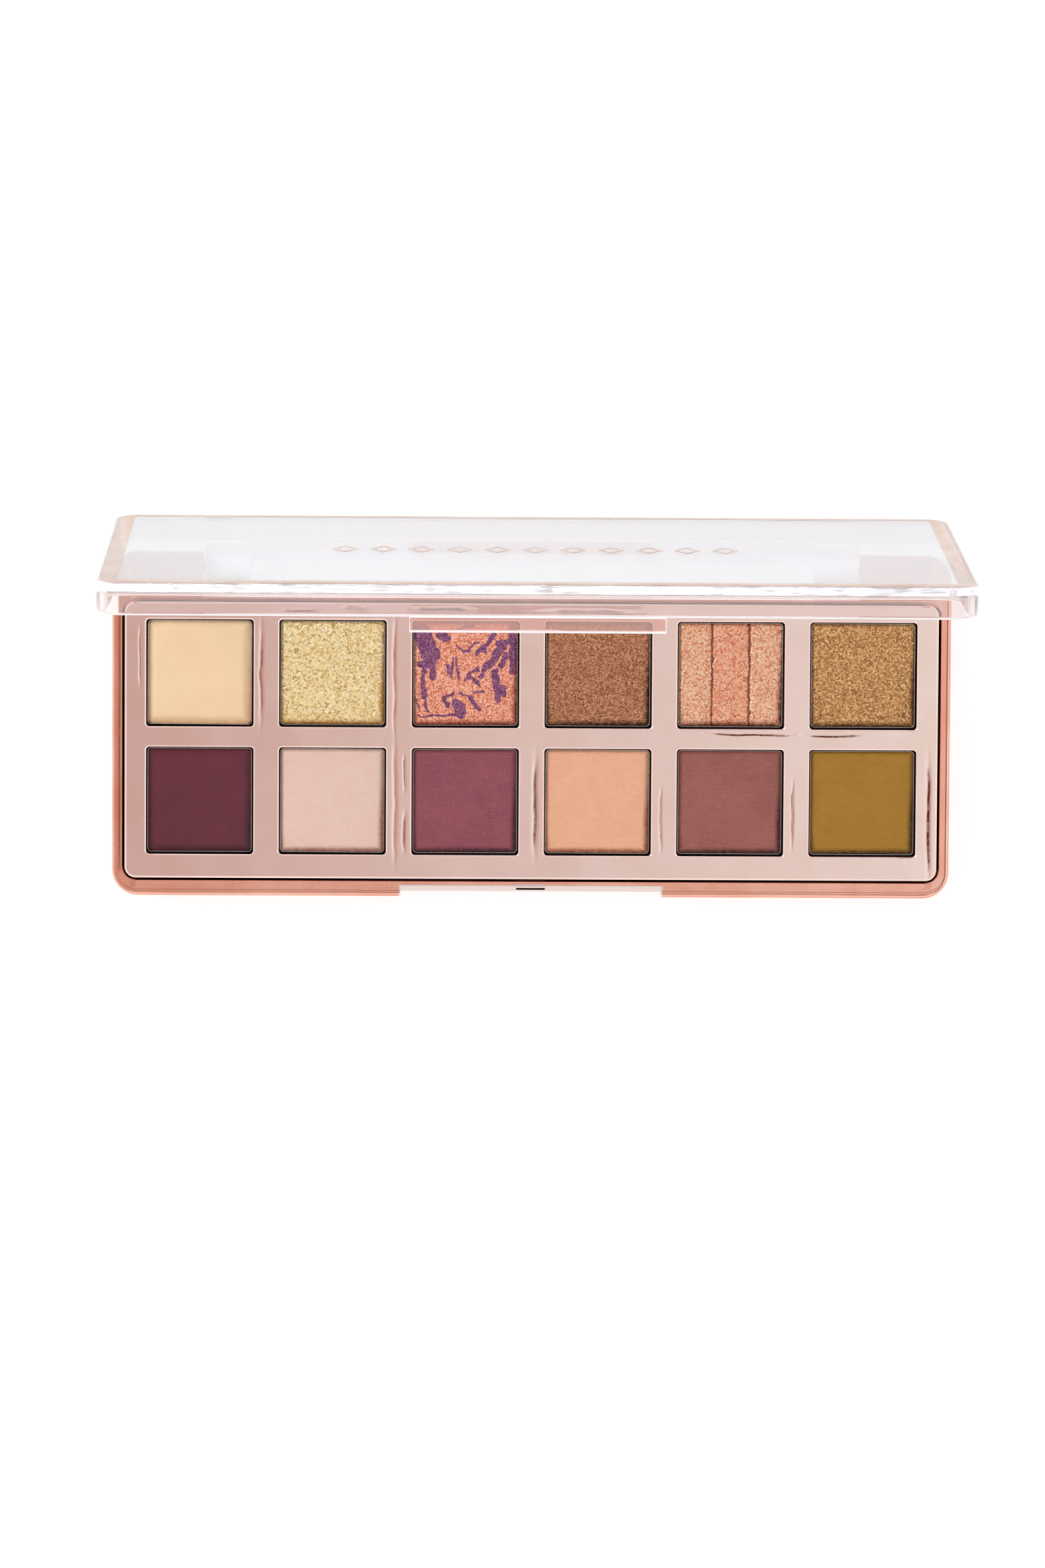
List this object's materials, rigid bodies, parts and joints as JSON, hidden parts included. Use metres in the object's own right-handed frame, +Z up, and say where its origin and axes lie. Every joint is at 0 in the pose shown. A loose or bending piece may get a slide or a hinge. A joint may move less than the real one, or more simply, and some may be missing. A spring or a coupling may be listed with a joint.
{
  "type": "eyeshadow palette",
  "caption": "Slim rectangular eyeshadow palette: metallised rose-gold base with two rows of square pans of pressed powder under a clear hinged lid with a front catch tab.",
  "frame": {"origin": "middle of the flat underside of the base casing", "axes": "+X along the palette to the right, +Y towards the hinge, +Z up"},
  "size_m": [0.1594, 0.0723, 0.0652],
  "materials": {
    "metallised_casing": "vacuum-metallised rose gold, mirror gloss",
    "metallised_insert": "vacuum-metallised rose gold, mirror gloss",
    "clear_plastic": "water-clear, polished",
    "pan_tinplate": "satin pressed sheet",
    "pin_steel": "ground",
    "hot_melt": "dull translucent",
    "label_paper": "uncoated, blank",
    "powder_cream_beige": "smooth cream",
    "powder_gold_glitter": "coarse glitter",
    "powder_marbled_plum_peach": "marbled shimmer",
    "powder_bronze_shimmer": "fine shimmer",
    "powder_three_stripe_copper": "shimmer in three stripes",
    "powder_antique_gold": "glitter",
    "powder_burgundy_cream": "smooth cream",
    "powder_pale_pink": "matte, pressed weave",
    "powder_plum_sparkle": "matte with fine sparkle",
    "powder_peach_matte": "matte, pressed weave",
    "powder_mauve_brown": "matte, pressed weave",
    "powder_olive_mustard": "matte, pressed weave",
    "foil_print": "hot-stamped rose-gold foil"
  },
  "bodies": {
    "base": {"base_casing": "metallised_casing", "insert_frame": "metallised_insert", "pan_01": "pan_tinplate", "cake_01_cream_beige": "powder_cream_beige", "pan_glue_01": "hot_melt", "pan_02": "pan_tinplate", "cake_02_gold_glitter": "powder_gold_glitter", "pan_glue_02": "hot_melt", "pan_03": "pan_tinplate", "cake_03_marbled_plum_peach": "powder_marbled_plum_peach", "pan_glue_03": "hot_melt", "pan_04": "pan_tinplate", "cake_04_bronze_shimmer": "powder_bronze_shimmer", "pan_glue_04": "hot_melt", "pan_05": "pan_tinplate", "cake_05_three_stripe_copper": "powder_three_stripe_copper", "pan_glue_05": "hot_melt", "pan_06": "pan_tinplate", "cake_06_antique_gold": "powder_antique_gold", "pan_glue_06": "hot_melt", "pan_07": "pan_tinplate", "cake_07_burgundy_cream": "powder_burgundy_cream", "pan_glue_07": "hot_melt", "pan_08": "pan_tinplate", "cake_08_pale_pink": "powder_pale_pink", "pan_glue_08": "hot_melt", "pan_09": "pan_tinplate", "cake_09_plum_sparkle": "powder_plum_sparkle", "pan_glue_09": "hot_melt", "pan_10": "pan_tinplate", "cake_10_peach_matte": "powder_peach_matte", "pan_glue_10": "hot_melt", "pan_11": "pan_tinplate", "cake_11_mauve_brown": "powder_mauve_brown", "pan_glue_11": "hot_melt", "pan_12": "pan_tinplate", "cake_12_olive_mustard": "powder_olive_mustard", "pan_glue_12": "hot_melt", "hinge_pin_left": "pin_steel", "hinge_pin_right": "pin_steel", "underside_label": "label_paper"},
    "lid": {"clear_lid": "clear_plastic"}
  },
  "joints": [
    {"name": "lid_hinge", "type": "hinge", "parent": "base", "child": "lid", "pos_m": [0, 0.02895, 0.0035], "axis": [-1, 0, 0], "range_deg": [-79.3, 10.7]}
  ]
}
